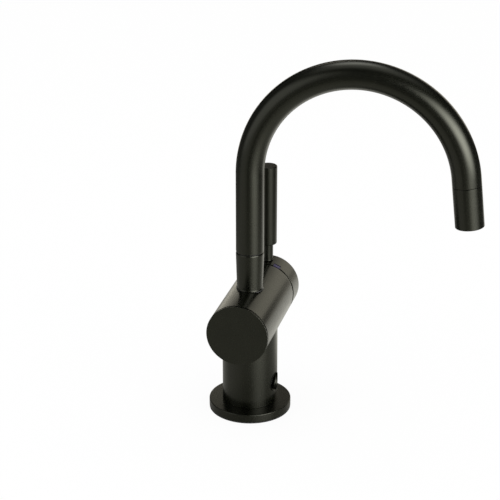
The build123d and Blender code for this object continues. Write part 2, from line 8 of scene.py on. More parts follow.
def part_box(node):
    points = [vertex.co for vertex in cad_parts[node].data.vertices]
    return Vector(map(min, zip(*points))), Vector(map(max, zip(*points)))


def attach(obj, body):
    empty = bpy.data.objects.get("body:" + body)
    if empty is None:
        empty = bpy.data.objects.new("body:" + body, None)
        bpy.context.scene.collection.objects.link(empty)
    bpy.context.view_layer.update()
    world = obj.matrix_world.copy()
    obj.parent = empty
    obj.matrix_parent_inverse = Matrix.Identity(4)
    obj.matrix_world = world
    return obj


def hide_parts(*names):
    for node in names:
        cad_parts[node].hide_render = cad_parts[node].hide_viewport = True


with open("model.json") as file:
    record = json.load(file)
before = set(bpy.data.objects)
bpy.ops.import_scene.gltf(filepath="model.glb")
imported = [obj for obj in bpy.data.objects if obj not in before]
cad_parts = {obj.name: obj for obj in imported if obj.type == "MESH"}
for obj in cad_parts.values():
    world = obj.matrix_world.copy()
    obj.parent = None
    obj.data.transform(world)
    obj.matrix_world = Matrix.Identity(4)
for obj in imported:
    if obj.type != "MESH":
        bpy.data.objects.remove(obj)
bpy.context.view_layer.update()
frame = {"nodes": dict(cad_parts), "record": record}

MM = 0.001
UP = Vector((0, 0, 1))

# Fineness of the round pieces
SIDES = 160
FINE_SIDES = 2 * SIDES
SMALL_SIDES = 96
BEND_STEPS = 150
MARK_STEPS = 16
EDGE_STEPS = 3
FINE_EDGE_STEPS = 4
MERGE_DISTANCE = 0.001 * MM
SHARP_ANGLE = math.radians(34)
BROAD_FACE_WEIGHT = 60

# Rounding of worked edges, as paint leaves them
EDGE_ROUND = 0.18 * MM
FINE_EDGE = 0.1 * MM

# Sizes that the frame's boxes don't give
FLANGE_BORE_RADIUS = 16.15 * MM
FLANGE_EDGE = 0.5 * MM
COLUMN_WALL = 3.0 * MM
BARREL_WALL = 2.4 * MM
BARREL_PASSAGE_RADIUS = 13.0 * MM
BARREL_SETBACK = 0.4 * MM
BARREL_TAPER = 0.38 * MM
BARREL_TAPER_LENGTH = 2.5 * MM
CAP_RIM = 0.8 * MM
CAP_GROOVE_DEPTH = 1.2 * MM
CAP_EDGE = 0.16 * MM
HUB_EDGE = 0.2 * MM
HUB_POCKET_RADIUS = 11.0 * MM
HUB_POCKET_DEPTH = 4.4 * MM
COLD_SIDE, HOT_SIDE = 1, -1
MARK_START = math.radians(16.5)
MARK_SPAN = math.radians(15)
MARK_DEPTH = 0.9 * MM
MARK_RECESS = 0.25 * MM
MARK_SETBACK = 0.35 * MM
STEM_EDGE = 0.2 * MM
STEM_FOOT_DROP = 0.4 * MM
STEM_FOOT_FLARE = 0.3 * MM
STEM_FOOT_LENGTH = 1.1 * MM
STEM_THREAD_RADIUS = 2.5 * MM
STEM_THREAD_LENGTH = 12.0 * MM
GRIP_EDGE = 0.5 * MM
GRIP_SOCKET_RADIUS = 3.0 * MM
COLLAR_BOTTOM_RADIUS = 8.62 * MM
COLLAR_EDGE = 0.25 * MM
COLLAR_FOOT_FLARE = 0.48 * MM
COLLAR_FOOT_LENGTH = 1.5 * MM
COLLAR_TOP_TAPER = 0.28 * MM
COLLAR_TOP_LENGTH = 1.0 * MM
COLLAR_NECK_RADIUS = 6.5 * MM
COLLAR_BORE_RADIUS = 4.5 * MM
COLLAR_SOCKET_RADIUS = 6.56 * MM
COLLAR_SOCKET_FLOOR = 5.6 * MM
COLLAR_MOUTH_RADIUS = 7.61 * MM
COLLAR_MOUTH_DEPTH = 5.2 * MM
SPOUT_WALL = 1.2 * MM
SPOUT_EDGE = 0.45 * MM
BEND_RADIUS = 68.9 * MM
BEND_ANGLE = math.radians(173.1)
TIP_STRAIGHT = 4.8 * MM
NOZZLE_LENGTH = 26.8 * MM
NOZZLE_EDGE = 0.25 * MM
NOZZLE_TOP_EDGE = 0.2 * MM
NOZZLE_SPIGOT_GAP = 0.2 * MM
NOZZLE_MOUTH_RADIUS = 7.4 * MM
NOZZLE_BORE_RADIUS = 6.0 * MM
NOZZLE_MOUTH_DEPTH = 11.4 * MM
GASKET_BORE_RADIUS = 19.4 * MM
LOCK_HEIGHT = 21.0 * MM
LOCK_ANGLE = math.radians(-8.5)
BUSH_RADIUS = 6.5 * MM
BUSH_PROUD = 0.3 * MM
BUSH_SEAT = 11.0 * MM
BUSH_FLOOR = 1.5 * MM
BUSH_SCREW_HOLE_RADIUS = 2.05 * MM
BUSH_MOUTH_RADIUS = 6.4 * MM
BUSH_CREST_RADIUS = 6.1 * MM
BUSH_THREAD_DEPTH = 0.3 * MM
BUSH_THREAD_PITCH = 0.75 * MM
BUSH_THREAD_TURNS = 3
BUSH_EDGE = 0.08 * MM
FIT = 0.05 * MM

# Places and sizes from the frame
flange_low, flange_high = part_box("base_flange")
gasket_low, gasket_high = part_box("base_gasket")
column_low, column_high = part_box("column")
barrel_low, barrel_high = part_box("barrel")
cap_low, cap_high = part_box("front_cap")
hub_low, hub_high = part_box("lever_hub")
stem_low, stem_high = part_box("lever_stem")
grip_low, grip_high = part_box("lever_grip")
collar_low, collar_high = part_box("collar")
washer_low, washer_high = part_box("collar_washer")
spout_low, spout_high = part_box("spout_tube")
_, mark_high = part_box("cold_mark")

column_radius = column_high.x
barrel_radius = barrel_high.x
barrel_height = barrel_high.z - barrel_radius
spout_radius = spout_high.y
grip_radius = grip_high.x
stem_radius = stem_high.x
hub_middle = (hub_low.y + hub_high.y) / 2
bend_height = spout_high.z - BEND_RADIUS - spout_radius
bend_centre = Vector((BEND_RADIUS, 0, bend_height))
tip_direction = Vector((math.sin(BEND_ANGLE), 0, math.cos(BEND_ANGLE)))
bend_outward = Vector((-math.cos(BEND_ANGLE), 0, math.sin(BEND_ANGLE)))
bend_end = bend_centre + BEND_RADIUS * bend_outward
nozzle_top = bend_end + (TIP_STRAIGHT + FIT) * tip_direction

# Round pieces are turned upright on the Z axis, and these put them in their places
lift_to_barrel = Matrix.Translation((0, 0, barrel_height))
along_barrel = lift_to_barrel @ Matrix.Rotation(-math.pi / 2, 4, "X")
at_lever = Matrix.Translation((0, hub_middle, 0))
along_bush = (
    Matrix.Rotation(LOCK_ANGLE, 4, "Z")
    @ Matrix.Translation((0, 0, LOCK_HEIGHT))
    @ Matrix.Rotation(math.pi / 2, 4, "Y")
)


# Modelling

def select_only(piece):
    bpy.ops.object.select_all(action="DESELECT")
    piece.select_set(True)
    bpy.context.view_layer.objects.active = piece


def rename(piece, name):
    piece.name = name
    piece.data.name = name
    return piece


def start_edit(piece):
    select_only(piece)
    bpy.ops.object.mode_set(mode="EDIT")
    bpy.ops.mesh.select_all(action="SELECT")


def join_and_end_edit():
    """Merges what meets, points all faces outwards and leaves edit mode."""
    bpy.ops.mesh.select_all(action="SELECT")
    bpy.ops.mesh.remove_doubles(threshold=MERGE_DISTANCE)
    bpy.ops.mesh.normals_make_consistent(inside=False)
    bpy.ops.object.mode_set(mode="OBJECT")


def apply_place(piece):
    select_only(piece)
    bpy.ops.object.transform_apply(location=True, rotation=True, scale=True)


def turned(name, outline, sides=SIDES, closed=False):
    """Round piece about Z: a circle, extruded and scaled from corner to corner of its outline."""
    radius, height = outline[0]
    bpy.ops.object.select_all(action="DESELECT")
    bpy.ops.mesh.primitive_circle_add(vertices=sides, radius=radius, location=(0, 0, height))
    piece = rename(bpy.context.object, name)
    start_edit(piece)
    if not closed:
        bpy.ops.mesh.edge_face_add()
    corners = outline[1:] + outline[:1] if closed else outline[1:]
    for next_radius, next_height in corners:
        rise = (0, 0, next_height - height)
        bpy.ops.mesh.extrude_region_move(TRANSFORM_OT_translate={"value": rise})
        if next_radius != radius:
            grow = next_radius / radius
            bpy.ops.transform.resize(value=(grow, grow, 1), center_override=(0, 0, next_height))
        radius, height = next_radius, next_height
    join_and_end_edit()
    apply_place(piece)
    return piece


def use_modifier(piece, kind, **settings):
    modifier = piece.modifiers.new(kind.lower(), kind)
    for setting, value in settings.items():
        setattr(modifier, setting, value)
    select_only(piece)
    bpy.ops.object.modifier_apply(modifier=modifier.name)


def round_edges(piece, width, steps=EDGE_STEPS):
    use_modifier(
        piece, "BEVEL", width=width, segments=steps,
        limit_method="ANGLE", angle_limit=SHARP_ANGLE, use_clamp_overlap=True,
    )


def place(piece, where):
    piece.matrix_world = where
    apply_place(piece)
    return piece


def rod(radius, bottom, top, sides=SIDES):
    """Plain round cutter along Z."""
    return turned("cutter", [(radius, bottom), (radius, top)], sides)


def cut(piece, cutter, operation="DIFFERENCE"):
    use_modifier(piece, "BOOLEAN", operation=operation, object=cutter, solver="EXACT")
    bpy.data.objects.remove(cutter)


def smooth(piece):
    select_only(piece)
    bpy.ops.object.shade_smooth_by_angle(angle=SHARP_ANGLE)
    use_modifier(piece, "WEIGHTED_NORMAL", keep_sharp=True, weight=BROAD_FACE_WEIGHT)


def add_piece(piece, body, slot, material, *nodes):
    smooth(piece)
    piece.data.materials.clear()
    piece.data.materials.append(material)
    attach(piece, body)
    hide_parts(*nodes)


# Finishes

SHEEN = (0.99, 1.0, 0.83)
PAINT_IOR = 1.45
PLASTIC_IOR = 1.5

# Parts of a noise's range that the colour and the roughness follow
TINT_RANGE = (0.35, 0.65)
ROUGHNESS_RANGE = (0.3, 0.7)


class Finish:
    """A node material, with short ways to add its parts."""

    def __init__(self, name):
        self.material = bpy.data.materials.new(name)
        self.material.use_nodes = True
        self.nodes = self.material.node_tree.nodes
        self.links = self.material.node_tree.links
        self.shader = self.nodes["Principled BSDF"]
        self.place = self.nodes.new("ShaderNodeTexCoord").outputs["Object"]

    def set(self, **sockets):
        for socket, value in sockets.items():
            self.shader.inputs[socket.replace("_", " ")].default_value = value

    def noise(self, size, detail=2.0, roughness=0.5, stretch=(1, 1, 1)):
        mapping = self.nodes.new("ShaderNodeMapping")
        mapping.inputs["Scale"].default_value = stretch
        texture = self.nodes.new("ShaderNodeTexNoise")
        texture.inputs["Scale"].default_value = 1 / size
        texture.inputs["Detail"].default_value = detail
        texture.inputs["Roughness"].default_value = roughness
        self.links.new(self.place, mapping.inputs["Vector"])
        self.links.new(mapping.outputs["Vector"], texture.inputs["Vector"])
        return texture.outputs["Fac"]

    def tint(self, value, dark, light):
        """Base colour that wanders from dark to light with a noise."""
        ramp = self.nodes.new("ShaderNodeValToRGB")
        for stop, position, colour in zip(ramp.color_ramp.elements, TINT_RANGE, (dark, light)):
            stop.position = position
            stop.color = (*colour, 1)
        self.links.new(value, ramp.inputs["Fac"])
        self.links.new(ramp.outputs["Color"], self.shader.inputs["Base Color"])

    def roughen(self, value, low, high):
        """Roughness that wanders from low to high with a noise."""
        node = self.nodes.new("ShaderNodeMapRange")
        node.inputs["From Min"].default_value = ROUGHNESS_RANGE[0]
        node.inputs["From Max"].default_value = ROUGHNESS_RANGE[1]
        node.inputs["To Min"].default_value = low
        node.inputs["To Max"].default_value = high
        self.links.new(value, node.inputs["Value"])
        self.links.new(node.outputs["Result"], self.shader.inputs["Roughness"])

    def bump(self, heights):
        """Bumps on top of each other, each a pair of a height value and its depth."""
        normal = None
        for value, distance in heights:
            node = self.nodes.new("ShaderNodeBump")
            node.inputs["Strength"].default_value = 1.0
            node.inputs["Distance"].default_value = distance
            self.links.new(value, node.inputs["Height"])
            if normal is not None:
                self.links.new(normal, node.inputs["Normal"])
            normal = node.outputs["Normal"]
        self.links.new(normal, self.shader.inputs["Normal"])


def satin_black(name, dark, light, rough, shine=0.5):
    """Thin satin paint on metal: nearly black, with an olive sheen, grain and faint orange peel."""
    paint = Finish(name)
    mottle = paint.noise(9 * MM, detail=3.0)
    paint.tint(mottle, dark, light)
    smudge = paint.noise(3 * MM, detail=4.0, roughness=0.6)
    paint.roughen(smudge, rough - 0.02, rough + 0.02)
    peel = paint.noise(0.9 * MM, detail=1.0)
    grain = paint.noise(0.16 * MM, roughness=0.6)
    paint.bump([(peel, 0.0016 * MM), (grain, 0.0009 * MM)])
    paint.set(IOR=PAINT_IOR, Specular_IOR_Level=shine, Specular_Tint=(*SHEEN, 1))
    return paint.material


def rubber(name):
    """Black rubber, dull and finely grained."""
    finish = Finish(name)
    mottle = finish.noise(2 * MM, detail=3.0)
    finish.tint(mottle, (0.012, 0.012, 0.012), (0.022, 0.021, 0.02))
    dull_spots = finish.noise(0.8 * MM, detail=3.0)
    finish.roughen(dull_spots, 0.6, 0.75)
    grain = finish.noise(0.2 * MM, detail=3.0, roughness=0.7)
    finish.bump([(grain, 0.004 * MM)])
    finish.set(IOR=PLASTIC_IOR)
    return finish.material


def turned_metal(name, dark, light, rough, line_size):
    """Bare machined metal, with fine lines round its own Z axis."""
    finish = Finish(name)
    mottle = finish.noise(6 * MM, detail=4.0)
    finish.tint(mottle, dark, light)
    lines = finish.noise(line_size, roughness=0.6, stretch=(0.02, 0.02, 1))
    finish.roughen(lines, rough - 0.06, rough + 0.08)
    finish.bump([(lines, 0.002 * MM)])
    finish.set(Metallic=1.0)
    return finish.material


def moulded(name, dark, light, rough):
    """Moulded plastic or fired ceramic, with a fine even grain."""
    finish = Finish(name)
    finish.tint(finish.noise(5 * MM), dark, light)
    finish.roughen(finish.noise(1.2 * MM), rough - 0.04, rough + 0.04)
    grain = finish.noise(0.25 * MM, roughness=0.6)
    finish.bump([(grain, 0.0025 * MM)])
    finish.set(IOR=PLASTIC_IOR)
    return finish.material


BLACK = satin_black(
    "satin_black_paint", (0.001, 0.0015, 0.0003), (0.0018, 0.0023, 0.0007), 0.26)
# Darker, duller copy of the same satin paint for the grip and the rod: painted shade, for the lower
# light these lever parts get.
SHADED_LEVER_BLACK = satin_black(
    "satin_black_shaded_lever", (0.0009, 0.0014, 0.0003), (0.0016, 0.0021, 0.0006), 0.31, shine=0.34)
# Darker, duller copy of the same satin paint for the lock bush: painted shade, so its hole reads
# black.
SHADED_BUSH_BLACK = satin_black(
    "satin_black_shaded_bush", (0.0006, 0.001, 0.0003), (0.0012, 0.0016, 0.0005), 0.26, shine=0.34)
# Darker, slightly rougher copy of the same satin paint for the flange: painted shade from the
# barrel and column above it.
SHADED_FLANGE_BLACK = satin_black(
    "satin_black_shaded_flange", (0.0009, 0.0014, 0.0003), (0.0016, 0.0021, 0.0006), 0.28)
RUBBER = rubber("black_rubber")
BLACK_PLASTIC = moulded("black_acetal", (0.0012, 0.0014, 0.001), (0.0024, 0.0028, 0.002), 0.45)
WHITE_PLASTIC = moulded("white_acetal", (0.66, 0.66, 0.62), (0.74, 0.74, 0.7), 0.4)
CERAMIC = moulded("alumina_ceramic", (0.8, 0.78, 0.74), (0.88, 0.86, 0.83), 0.25)
COLD_BLUE = moulded("indigo_enamel", (0.011, 0.006, 0.06), (0.018, 0.01, 0.085), 0.34)
HOT_RED = moulded("red_enamel", (0.12, 0.008, 0.006), (0.17, 0.012, 0.009), 0.34)
BRASS = turned_metal("machined_brass", (0.62, 0.44, 0.19), (0.74, 0.55, 0.27), 0.3, 0.12 * MM)
COPPER = turned_metal("copper_tube", (0.66, 0.33, 0.2), (0.78, 0.44, 0.3), 0.34, 0.5 * MM)
STEEL = turned_metal("stainless_steel", (0.5, 0.5, 0.49), (0.62, 0.61, 0.6), 0.28, 0.1 * MM)
BLACK_STEEL = turned_metal(
    "black_oxide_steel", (0.05, 0.05, 0.052), (0.09, 0.09, 0.09), 0.36, 0.1 * MM)

SLOT_FINISHES = {
    "black": BLACK,
    "black_plastic": BLACK_PLASTIC,
    "black_steel": BLACK_STEEL,
    "brass": BRASS,
    "ceramic": CERAMIC,
    "cold_blue": COLD_BLUE,
    "copper": COPPER,
    "hot_red": HOT_RED,
    "rubber": RUBBER,
    "steel": STEEL,
    "white_plastic": WHITE_PLASTIC,
}


def dress_cad_nodes():
    """Gives every node of the frame its own slot's finish."""
    slots = {entry["node"]: entry["material_slot"] for entry in frame["record"]["subparts"]}
    for name, node in frame["nodes"].items():
        node.material_slots[0].material = SLOT_FINISHES[slots[name]]


# Pieces

def pipe(name, inner, outer, low, high, sides=SIDES):
    """Plain upright tube or ring."""
    outline = [(inner, low), (outer, low), (outer, high), (inner, high)]
    return turned(name, outline, sides, closed=True)


def make_gasket():
    gasket = pipe("gasket", GASKET_BORE_RADIUS, gasket_high.x, gasket_low.z, gasket_high.z)
    round_edges(gasket, FINE_EDGE)
    add_piece(gasket, "tap_body", "rubber", RUBBER, "base_gasket")


def make_flange():
    low, high = flange_low.z, flange_high.z
    flange = pipe("deck_flange", FLANGE_BORE_RADIUS, flange_high.x, low, high, FINE_SIDES)
    round_edges(flange, FLANGE_EDGE, FINE_EDGE_STEPS)
    add_piece(flange, "tap_body", "black", SHADED_FLANGE_BLACK, "base_flange")


def make_column():
    inner = column_radius - COLUMN_WALL
    column = pipe("tap_column", inner, column_radius, column_low.z, barrel_height)
    round_edges(column, EDGE_ROUND)
    barrel_saddle = rod(barrel_radius, -2 * barrel_radius, 2 * barrel_radius)
    cut(column, place(barrel_saddle, along_barrel))
    bush_hole = rod(BUSH_RADIUS + FIT, BUSH_SEAT, 2 * column_radius, SMALL_SIDES)
    cut(column, place(bush_hole, along_bush))
    add_piece(column, "tap_body", "black", BLACK, "column")


def make_lock_bush():
    """Cup with a few thread turns below its mouth."""
    face = column_radius + BUSH_PROUD
    floor = BUSH_SEAT + BUSH_FLOOR
    outline = [
        (BUSH_SCREW_HOLE_RADIUS, BUSH_SEAT),
        (BUSH_RADIUS, BUSH_SEAT),
        (BUSH_RADIUS, face),
        (BUSH_MOUTH_RADIUS, face),
    ]
    crest = face - (BUSH_MOUTH_RADIUS - BUSH_CREST_RADIUS)
    root_radius = BUSH_CREST_RADIUS + BUSH_THREAD_DEPTH
    for turn in range(BUSH_THREAD_TURNS):
        outline.append((BUSH_CREST_RADIUS, crest - turn * BUSH_THREAD_PITCH))
        outline.append((root_radius, crest - (turn + 0.5) * BUSH_THREAD_PITCH))
    outline.append((BUSH_CREST_RADIUS, crest - BUSH_THREAD_TURNS * BUSH_THREAD_PITCH))
    outline += [(BUSH_CREST_RADIUS, floor), (BUSH_SCREW_HOLE_RADIUS, floor)]
    bush = place(turned("lock_bush_cup", outline, SMALL_SIDES, closed=True), along_bush)
    cut(bush, rod(face, 0, barrel_height), "INTERSECT")
    round_edges(bush, BUSH_EDGE)
    add_piece(bush, "tap_body", "black_plastic", SHADED_BUSH_BLACK, "lock_bush")


def make_barrel():
    inner = barrel_radius - BARREL_WALL
    groove = barrel_radius - CAP_GROOVE_DEPTH
    front, back = barrel_low.y, barrel_high.y
    outline = [
        (inner, front),
        (groove, front),
        (groove, front + BARREL_SETBACK),
        (barrel_radius, front + BARREL_SETBACK),
        (barrel_radius, back - BARREL_TAPER_LENGTH),
        (barrel_radius - BARREL_TAPER, back),
        (inner, back),
    ]
    barrel = turned("valve_barrel", outline, FINE_SIDES, closed=True)
    round_edges(barrel, FINE_EDGE)
    place(barrel, along_barrel)
    cut(barrel, rod(BARREL_PASSAGE_RADIUS, 0, barrel_height))
    cut(barrel, rod(washer_high.x + FIT, washer_low.z, 2 * barrel_high.z))
    cut(barrel, rod(COLLAR_NECK_RADIUS + FIT, barrel_height, barrel_high.z))
    add_piece(barrel, "tap_body", "black", BLACK, "barrel")


def make_front_cap():
    face, end = cap_low.y, cap_high.y
    shoulder = barrel_low.y
    neck = barrel_radius - CAP_GROOVE_DEPTH
    spigot = barrel_radius - BARREL_WALL - FIT
    outline = [
        (barrel_radius, face),
        (barrel_radius, face + CAP_RIM),
        (neck, face + CAP_RIM),
        (neck, shoulder),
        (spigot, shoulder),
        (spigot, end),
    ]
    cap = turned("barrel_cap", outline, FINE_SIDES)
    round_edges(cap, CAP_EDGE, FINE_EDGE_STEPS)
    place(cap, along_barrel)
    add_piece(cap, "tap_body", "black", BLACK, "front_cap")


def mark_band(name, side, outer, inner, setback=0):
    """Band round the hub's front rim: a small plane spun about the barrel's axis."""
    bpy.ops.object.select_all(action="DESELECT")
    bpy.ops.mesh.primitive_plane_add(size=1)
    band = rename(bpy.context.object, name)
    length = mark_high.y - hub_low.y - setback
    middle = Vector((0, mark_high.y - length / 2, barrel_height + (outer + inner) / 2))
    size = Matrix.Diagonal((outer - inner, length, 1, 1))
    upright = Matrix.Rotation(math.pi / 2, 4, "Y")
    place(band, Matrix.Translation(middle) @ upright @ size)
    start_edit(band)
    centre = (0, hub_low.y, barrel_height)
    span = -side * MARK_SPAN
    bpy.ops.mesh.spin(steps=MARK_STEPS, angle=span, center=centre, axis=(0, 1, 0))
    join_and_end_edit()
    turn = Matrix.Rotation(side * MARK_START, 4, "Y")
    return place(band, lift_to_barrel @ turn @ lift_to_barrel.inverted())


def make_hub():
    front, back = hub_low.y, hub_high.y
    outline = [
        (HUB_POCKET_RADIUS, front + HUB_POCKET_DEPTH),
        (HUB_POCKET_RADIUS, front),
        (barrel_radius, front),
        (barrel_radius, back),
    ]
    hub = turned("turning_hub", outline, FINE_SIDES)
    round_edges(hub, HUB_EDGE, FINE_EDGE_STEPS)
    place(hub, along_barrel)
    for side in (COLD_SIDE, HOT_SIDE):
        cut(hub, mark_band("cutter", side, barrel_radius + MARK_DEPTH, barrel_radius - MARK_DEPTH))
    stem_hole = (stem_low.z - FIT, 2 * barrel_high.z)
    set_screw_hole = (0, barrel_height)
    for bottom, top in (stem_hole, set_screw_hole):
        cut(hub, place(rod(STEM_THREAD_RADIUS + FIT, bottom, top, SMALL_SIDES), at_lever))
    add_piece(hub, "lever", "black", BLACK, "lever_hub")


def make_marks():
    outer, inner = barrel_radius - MARK_RECESS, barrel_radius - MARK_DEPTH
    marks = (
        (COLD_SIDE, "cold_mark", "cold_blue", COLD_BLUE),
        (HOT_SIDE, "hot_mark", "hot_red", HOT_RED),
    )
    for side, name, slot, material in marks:
        band = mark_band(name + "_enamel", side, outer, inner, MARK_SETBACK)
        round_edges(band, FINE_EDGE)
        add_piece(band, "lever", slot, material, name)


def make_stem():
    shoulder = stem_low.z + STEM_THREAD_LENGTH - STEM_FOOT_DROP
    grip_start = grip_low.z
    foot_radius = stem_radius + STEM_FOOT_FLARE
    outline = [
        (STEM_THREAD_RADIUS, stem_low.z),
        (STEM_THREAD_RADIUS, shoulder),
        (foot_radius - STEM_EDGE, shoulder),
        (foot_radius, shoulder + STEM_EDGE),
        (stem_radius, shoulder + STEM_FOOT_LENGTH),
        (stem_radius, grip_start),
        (GRIP_SOCKET_RADIUS, grip_start),
        (GRIP_SOCKET_RADIUS, stem_high.z),
    ]
    stem = turned("lever_rod", outline, SMALL_SIDES)
    round_edges(stem, FINE_EDGE)
    place(stem, at_lever)
    add_piece(stem, "lever", "black", SHADED_LEVER_BLACK, "lever_stem")


def make_grip():
    low, high = grip_low.z, grip_high.z
    socket = GRIP_SOCKET_RADIUS + FIT
    socket_end = stem_high.z + FIT
    outline = [
        (socket, socket_end),
        (socket, low),
        (grip_radius - GRIP_EDGE, low),
        (grip_radius, low + GRIP_EDGE),
        (grip_radius, high - GRIP_EDGE),
        (grip_radius - GRIP_EDGE, high),
    ]
    grip = turned("lever_handle", outline, SMALL_SIDES)
    round_edges(grip, EDGE_ROUND)
    place(grip, at_lever)
    add_piece(grip, "lever", "black", SHADED_LEVER_BLACK, "lever_grip")


def make_collar():
    low, high = washer_high.z, collar_high.z
    socket_floor = low + COLLAR_SOCKET_FLOOR
    mouth_floor = high - COLLAR_MOUTH_DEPTH
    widest_radius = collar_high.x
    top_radius = widest_radius - COLLAR_TOP_TAPER
    foot_radius = COLLAR_BOTTOM_RADIUS + COLLAR_FOOT_FLARE
    outline = [
        (COLLAR_BORE_RADIUS, collar_low.z),
        (COLLAR_NECK_RADIUS, collar_low.z),
        (COLLAR_NECK_RADIUS, low),
        (foot_radius - COLLAR_EDGE, low),
        (foot_radius, low + COLLAR_EDGE),
        (COLLAR_BOTTOM_RADIUS, low + COLLAR_FOOT_LENGTH),
        (widest_radius, high - COLLAR_TOP_LENGTH),
        (top_radius, high - COLLAR_EDGE),
        (top_radius - COLLAR_EDGE, high),
        (COLLAR_MOUTH_RADIUS, high),
        (COLLAR_MOUTH_RADIUS, mouth_floor),
        (COLLAR_SOCKET_RADIUS, mouth_floor),
        (COLLAR_SOCKET_RADIUS, socket_floor),
        (COLLAR_BORE_RADIUS, socket_floor),
    ]
    collar = turned("spout_collar", outline, closed=True)
    round_edges(collar, FINE_EDGE)
    add_piece(collar, "tap_body", "black", BLACK, "collar")


def make_spout():
    """Tube drawn from a circle: up the post, round the bend and down to the nozzle."""
    bottom = (0, 0, spout_low.z)
    bpy.ops.object.select_all(action="DESELECT")
    bpy.ops.mesh.primitive_circle_add(vertices=SMALL_SIDES, radius=spout_radius, location=bottom)
    spout = rename(bpy.context.object, "gooseneck_tube")
    apply_place(spout)
    start_edit(spout)
    post = (0, 0, bend_height - spout_low.z)
    bpy.ops.mesh.extrude_region_move(TRANSFORM_OT_translate={"value": post})
    bpy.ops.mesh.spin(steps=BEND_STEPS, angle=-BEND_ANGLE, center=bend_centre, axis=(0, 1, 0))
    tip = TIP_STRAIGHT * tip_direction
    bpy.ops.mesh.extrude_region_move(TRANSFORM_OT_translate={"value": tip})
    join_and_end_edit()
    use_modifier(spout, "SOLIDIFY", thickness=SPOUT_WALL, offset=-1, use_even_offset=True)
    round_edges(spout, SPOUT_EDGE)
    add_piece(spout, "spout", "black", BLACK, "spout_tube")


def make_nozzle():
    spigot = spout_radius - SPOUT_WALL - FIT
    spigot_length = TIP_STRAIGHT - NOZZLE_SPIGOT_GAP
    mouth_floor = NOZZLE_LENGTH - NOZZLE_MOUTH_DEPTH
    outline = [
        (NOZZLE_BORE_RADIUS, -spigot_length),
        (spigot, -spigot_length),
        (spigot, 0),
        (spout_radius - NOZZLE_TOP_EDGE, 0),
        (spout_radius, NOZZLE_TOP_EDGE),
        (spout_radius, NOZZLE_LENGTH - NOZZLE_EDGE),
        (spout_radius - NOZZLE_EDGE, NOZZLE_LENGTH),
        (NOZZLE_MOUTH_RADIUS, NOZZLE_LENGTH),
        (NOZZLE_MOUTH_RADIUS, mouth_floor),
        (NOZZLE_BORE_RADIUS, mouth_floor),
    ]
    nozzle = turned("outlet_nozzle", outline, closed=True)
    round_edges(nozzle, EDGE_ROUND)
    lean = UP.rotation_difference(tip_direction).to_matrix().to_4x4()
    place(nozzle, Matrix.Translation(nozzle_top) @ lean)
    add_piece(nozzle, "spout", "black", BLACK, "nozzle")


dress_cad_nodes()
make_gasket()
make_flange()
make_column()
make_lock_bush()
make_barrel()
make_front_cap()
make_hub()
make_marks()
make_stem()
make_grip()
make_collar()
make_spout()
make_nozzle()


# Studio, in metres

def stage_material(name):
    material = bpy.data.materials.new(name)
    material.use_nodes = True
    material.node_tree.nodes.clear()
    return material, material.node_tree.nodes, material.node_tree.links


def background_share(nodes, links):
    """1 for the rays that see the plain background: camera, glossy and transmission rays."""
    paths = nodes.new("ShaderNodeLightPath")
    total = None
    for ray in ("Is Camera Ray", "Is Glossy Ray", "Is Transmission Ray"):
        if total is None:
            total = paths.outputs[ray]
            continue
        add = nodes.new("ShaderNodeMath")
        add.operation = "MAXIMUM"
        links.new(total, add.inputs[0])
        links.new(paths.outputs[ray], add.inputs[1])
        total = add.outputs[0]
    return total


FLOOR_SIZE = 8.0
FLOOR_SHADOW_SHARE = 0.07
FLOOR_COLOUR = (0.95, 0.95, 0.95)
AIR_COLOUR = (0.9, 0.9, 0.9)
WHITE = (1, 1, 1)


def make_floor():
    """Floor that is white to the camera, with a little of the tap's shadow on it."""
    bpy.ops.object.select_all(action="DESELECT")
    bpy.ops.mesh.primitive_plane_add(size=FLOOR_SIZE, location=(0, 0, 0))
    floor = rename(bpy.context.object, "floor")
    material, nodes, links = stage_material("white_floor")
    diffuse = nodes.new("ShaderNodeBsdfDiffuse")
    diffuse.inputs["Color"].default_value = (*FLOOR_COLOUR, 1)
    white = nodes.new("ShaderNodeEmission")
    white.inputs["Strength"].default_value = 1.0
    keep = nodes.new("ShaderNodeMath")
    keep.operation = "MULTIPLY"
    keep.inputs[1].default_value = 1 - FLOOR_SHADOW_SHARE
    mix = nodes.new("ShaderNodeMixShader")
    output = nodes.new("ShaderNodeOutputMaterial")
    links.new(background_share(nodes, links), keep.inputs[0])
    links.new(keep.outputs[0], mix.inputs["Fac"])
    links.new(diffuse.outputs[0], mix.inputs[1])
    links.new(white.outputs[0], mix.inputs[2])
    links.new(mix.outputs[0], output.inputs["Surface"])
    floor.data.materials.append(material)


def make_world():
    """Plain pale light from all round, and white to the camera."""
    world = bpy.data.worlds.new("studio_air")
    bpy.context.scene.world = world
    world.use_nodes = True
    nodes, links = world.node_tree.nodes, world.node_tree.links
    nodes.clear()
    fill = nodes.new("ShaderNodeBackground")
    fill.inputs["Color"].default_value = (*AIR_COLOUR, 1)
    white = nodes.new("ShaderNodeBackground")
    white.inputs["Color"].default_value = (*WHITE, 1)
    mix = nodes.new("ShaderNodeMixShader")
    output = nodes.new("ShaderNodeOutputWorld")
    links.new(background_share(nodes, links), mix.inputs["Fac"])
    links.new(fill.outputs[0], mix.inputs[1])
    links.new(white.outputs[0], mix.inputs[2])
    links.new(mix.outputs[0], output.inputs["Surface"])


def reflected_only(piece):
    """A card or wall of the studio that only reflections see."""
    piece.visible_camera = False
    piece.visible_diffuse = False
    piece.visible_shadow = False
    piece.visible_transmission = False
    piece.visible_volume_scatter = False


def plane_card(name, low, high, where):
    """Flat card from its low to its high corner on its own X and Y."""
    bpy.ops.object.select_all(action="DESELECT")
    bpy.ops.mesh.primitive_plane_add(size=1)
    plane = rename(bpy.context.object, name)
    middle = Vector(((low[0] + high[0]) / 2, (low[1] + high[1]) / 2, 0))
    size = Matrix.Diagonal((high[0] - low[0], high[1] - low[1], 1, 1))
    place(plane, Matrix.Translation(middle) @ size)
    plane.matrix_world = where
    reflected_only(plane)
    return plane


